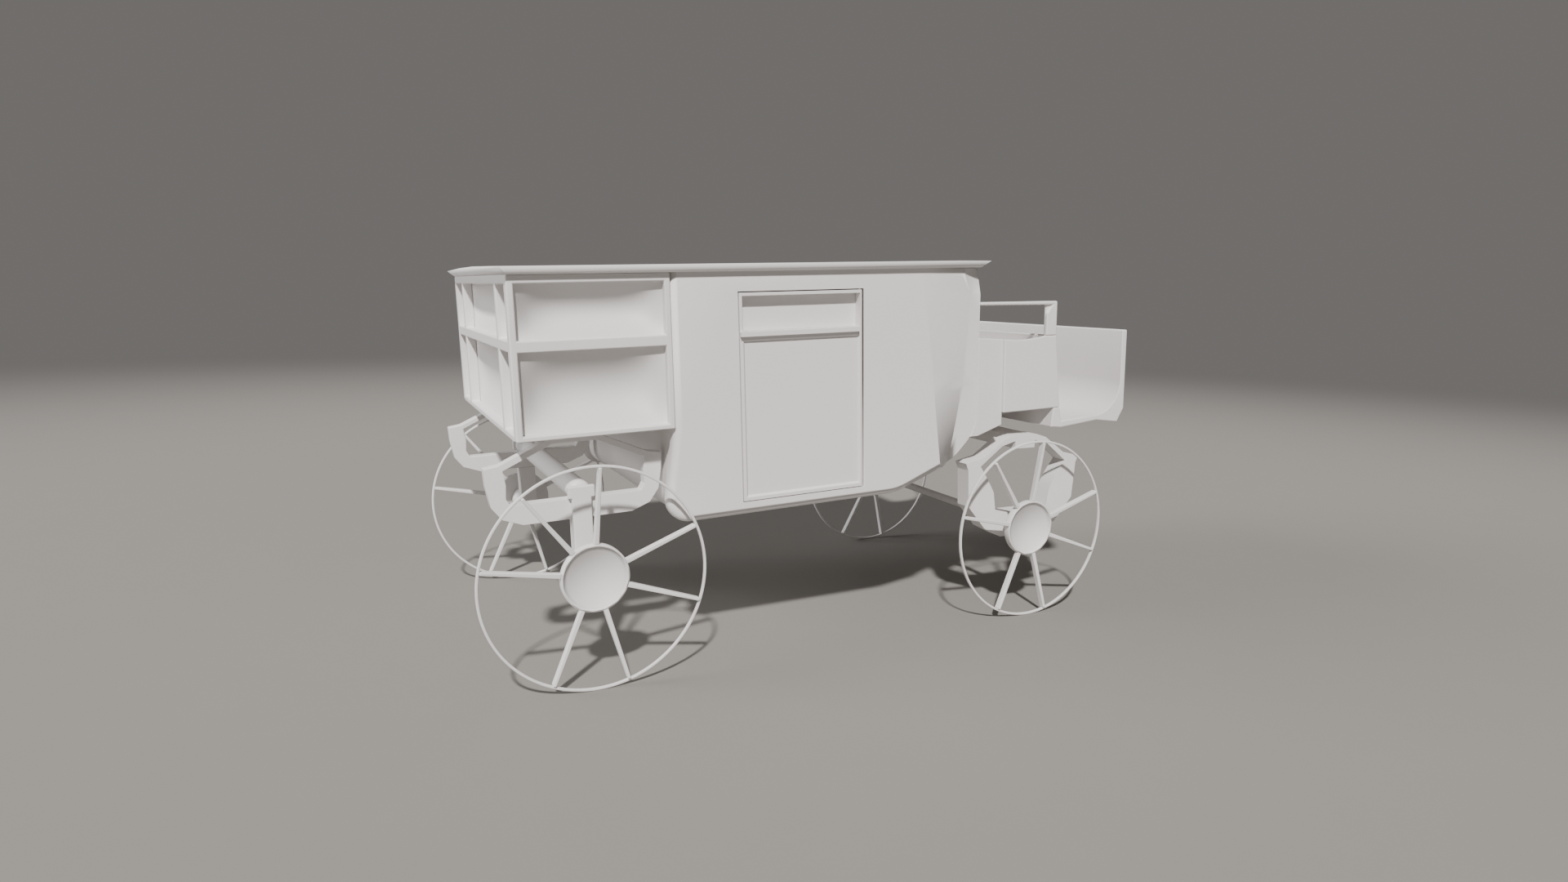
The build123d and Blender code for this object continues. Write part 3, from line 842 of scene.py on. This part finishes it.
def hub_piece(node, outward, edges):
    """A drum hub whose face is a shallow dish inside a raised lip."""
    bm = merged_mesh(node)
    low, high = (Vector(corner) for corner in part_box(node))
    centre = (low + high) / 2
    face_y = max(v.co.dot(outward) for v in bm.verts)
    lip = min(
        axis_distance(v.co, centre)
        for v in bm.verts
        if face_y - v.co.dot(outward) < LEVEL_DISTANCE
    )
    slack = 0.001
    margin = 0.005
    face_depth = 0.02
    dome = [
        face
        for face in bm.faces
        if face.normal.dot(outward) > FACING
        and all(axis_distance(v.co, centre) < lip + slack for v in face.verts)
        and all(face_y - v.co.dot(outward) < face_depth for v in face.verts)
        and any(axis_distance(v.co, centre) < lip - margin for v in face.verts)
    ]
    floor_y = min(v.co.dot(outward) for face in dome for v in face.verts)
    loop = [
        edge for edge in bm.edges if sum(face in dome for face in edge.link_faces) == 1
    ]
    bmesh.ops.delete(bm, geom=dome, context="FACES_KEEP_BOUNDARY")
    for step in range(1, HUB_RINGS):
        share = 1 - step / HUB_RINGS
        made = bmesh.ops.extrude_edge_only(bm, edges=loop)["geom"]
        loop = [item for item in made if isinstance(item, bmesh.types.BMEdge)]
        scale = share / (1 - (step - 1) / HUB_RINGS)
        sink = edges.hub_dish * (1 - share**2)
        for vert in {v for edge in loop for v in edge.verts}:
            vert.co.x = centre.x + (vert.co.x - centre.x) * scale
            vert.co.z = centre.z + (vert.co.z - centre.z) * scale
            vert.co.y = outward.y * (floor_y - sink)
    cap = bmesh.ops.contextual_create(bm, geom=loop)["faces"]
    for vert in bmesh.ops.poke(bm, faces=cap)["verts"]:
        vert.co = (centre.x, outward.y * (floor_y - edges.hub_dish), centre.z)
    bmesh.ops.recalc_face_normals(bm, faces=bm.faces)
    round_edges(bm, sharp_edges(bm, ARRIS_ANGLE), edges.board, 2)
    piece = finished_piece(bm, node, gear_paint(), ARRIS_ANGLE)
    dish_edge = lip - 0.004
    deepen_shade(
        piece.data,
        outward,
        lambda vertex: edges.hub_shade,
        lambda polygon: axis_distance(polygon.center, centre) < dish_edge,
    )
    return piece


class CARRIAGE_OT_wheels(bpy.types.Operator):
    """Dress the four wheels"""

    bl_idname = "carriage.wheels"
    bl_label = "Wheels"

    def execute(self, context):
        edges = settings()[1]
        for axle in AXLES:
            for side in SIDES:
                for part in ("rim", "spokes"):
                    node = f"{axle}_wheel_{part}_{side}"
                    eased_piece(node, gear_paint(), edges.wheel, segments=3)
                hub_piece(f"{axle}_wheel_hub_{side}", OUTWARD[side], edges)
        return {"FINISHED"}


def floor_finish(stage):
    """Pale floor that melts into the backdrop's light far from the carriage."""
    ground = Finish("Studio floor")
    speckle = ground.noise(scale=3, detail=4)
    lighter = [part * 1.03 for part in stage.floor_colour]
    tone = ground.tone(speckle, stage.floor_colour, lighter)
    ground.feed(ground.shader, {"Base_Color": tone, "Roughness": 0.9})
    distance = ground.node("ShaderNodeVectorMath", {"operation": "LENGTH"}, Vector=ground.place())
    melt = ground.node(
        "ShaderNodeMapRange",
        {"interpolation_type": "SMOOTHERSTEP"},
        Value=distance.outputs["Value"],
    )
    melt.inputs["From Min"].default_value = stage.floor_near
    melt.inputs["From Max"].default_value = stage.floor_far
    glow = ground.node("ShaderNodeEmission")
    glow.inputs["Color"].default_value = (*stage.backdrop_colour, 1)
    blend = ground.node("ShaderNodeMixShader", Fac=melt.outputs["Result"])
    links = ground.tree.links
    links.new(ground.shader.outputs["BSDF"], blend.inputs[1])
    links.new(glow.outputs["Emission"], blend.inputs[2])
    links.new(blend.outputs["Shader"], ground.tree.nodes["Material Output"].inputs["Surface"])
    return ground.material


class CARRIAGE_OT_stage(bpy.types.Operator):
    """Lay the studio floor and set the lights and the camera"""

    bl_idname = "carriage.stage"
    bl_label = "Stage"

    def execute(self, context):
        stage = context.scene.carriage_stage
        bm = bmesh.new()
        bmesh.ops.create_grid(bm, x_segments=1, y_segments=1, size=stage.floor_size / 2)
        mesh = bpy.data.meshes.new("studio_floor")
        bm.to_mesh(mesh)
        bm.free()
        floor = bpy.data.objects.new("studio_floor", mesh)
        context.scene.collection.objects.link(floor)
        mesh.materials.append(floor_finish(stage))

        world = context.scene.world or bpy.data.worlds.new("Studio")
        context.scene.world = world
        world.use_nodes = True
        sky = world.node_tree.nodes["Background"]
        sky.inputs["Color"].default_value = (*stage.backdrop_colour, 1)
        sky.inputs["Strength"].default_value = 1

        lamps = (
            ("key", KEY_FROM, stage.key_strength, KEY_SPREAD, KEY_TINT),
            ("rear", REAR_FROM, stage.rear_strength, REAR_SPREAD, REAR_TINT),
        )
        for name, towards, strength, spread, colour in lamps:
            lamp = bpy.data.lights.new(f"{name}_light", "SUN")
            lamp.energy = strength
            lamp.angle = math.radians(spread)
            lamp.color = colour
            holder = bpy.data.objects.new(f"{name}_light", lamp)
            context.scene.collection.objects.link(holder)
            holder.rotation_euler = Vector(towards).to_track_quat("Z", "Y").to_euler()

        camera = bpy.data.cameras.new("view")
        camera.sensor_fit = "HORIZONTAL"
        camera.sensor_width = SENSOR_WIDTH
        camera.lens = stage.lens
        camera.clip_end = VIEW_REACH
        holder = bpy.data.objects.new("view", camera)
        context.scene.collection.objects.link(holder)
        back = -Vector(stage.camera_aim).normalized()
        across = Vector(stage.camera_up).cross(back).normalized()
        up = back.cross(across)
        turn = Matrix((across, up, back)).transposed().to_4x4()
        holder.matrix_world = Matrix.Translation(stage.camera_place) @ turn
        context.scene.camera = holder
        return {"FINISHED"}


class CARRIAGE_PT_panel(bpy.types.Panel):
    """Lists the carriage's settings and pieces"""

    bl_idname = "CARRIAGE_PT_panel"
    bl_label = "Carriage"
    bl_space_type = "VIEW_3D"
    bl_region_type = "UI"
    bl_category = "Carriage"

    def draw(self, context):
        scene = context.scene
        for group in (scene.carriage_paint, scene.carriage_edges, scene.carriage_stage):
            box = self.layout.box()
            for name in group.__annotations__:
                box.prop(group, name)
        for operator in OPERATORS:
            self.layout.operator(operator.bl_idname)


GROUPS = {
    "carriage_paint": CarriagePaint,
    "carriage_edges": CarriageEdges,
    "carriage_stage": CarriageStage,
}
OPERATORS = (
    CARRIAGE_OT_coachwork,
    CARRIAGE_OT_doors,
    CARRIAGE_OT_driver_place,
    CARRIAGE_OT_running_gear,
    CARRIAGE_OT_wheels,
    CARRIAGE_OT_stage,
)


def register():
    for kind in (*GROUPS.values(), *OPERATORS, CARRIAGE_PT_panel):
        bpy.utils.register_class(kind)
    for name, group in GROUPS.items():
        setattr(bpy.types.Scene, name, bpy.props.PointerProperty(type=group))


def unregister():
    for name in GROUPS:
        delattr(bpy.types.Scene, name)
    for kind in reversed((*GROUPS.values(), *OPERATORS, CARRIAGE_PT_panel)):
        bpy.utils.unregister_class(kind)


def main():
    register()
    bpy.ops.carriage.coachwork()
    bpy.ops.carriage.doors()
    bpy.ops.carriage.driver_place()
    bpy.ops.carriage.running_gear()
    bpy.ops.carriage.wheels()
    bpy.ops.carriage.stage()


if __name__ == "__main__":
    main()
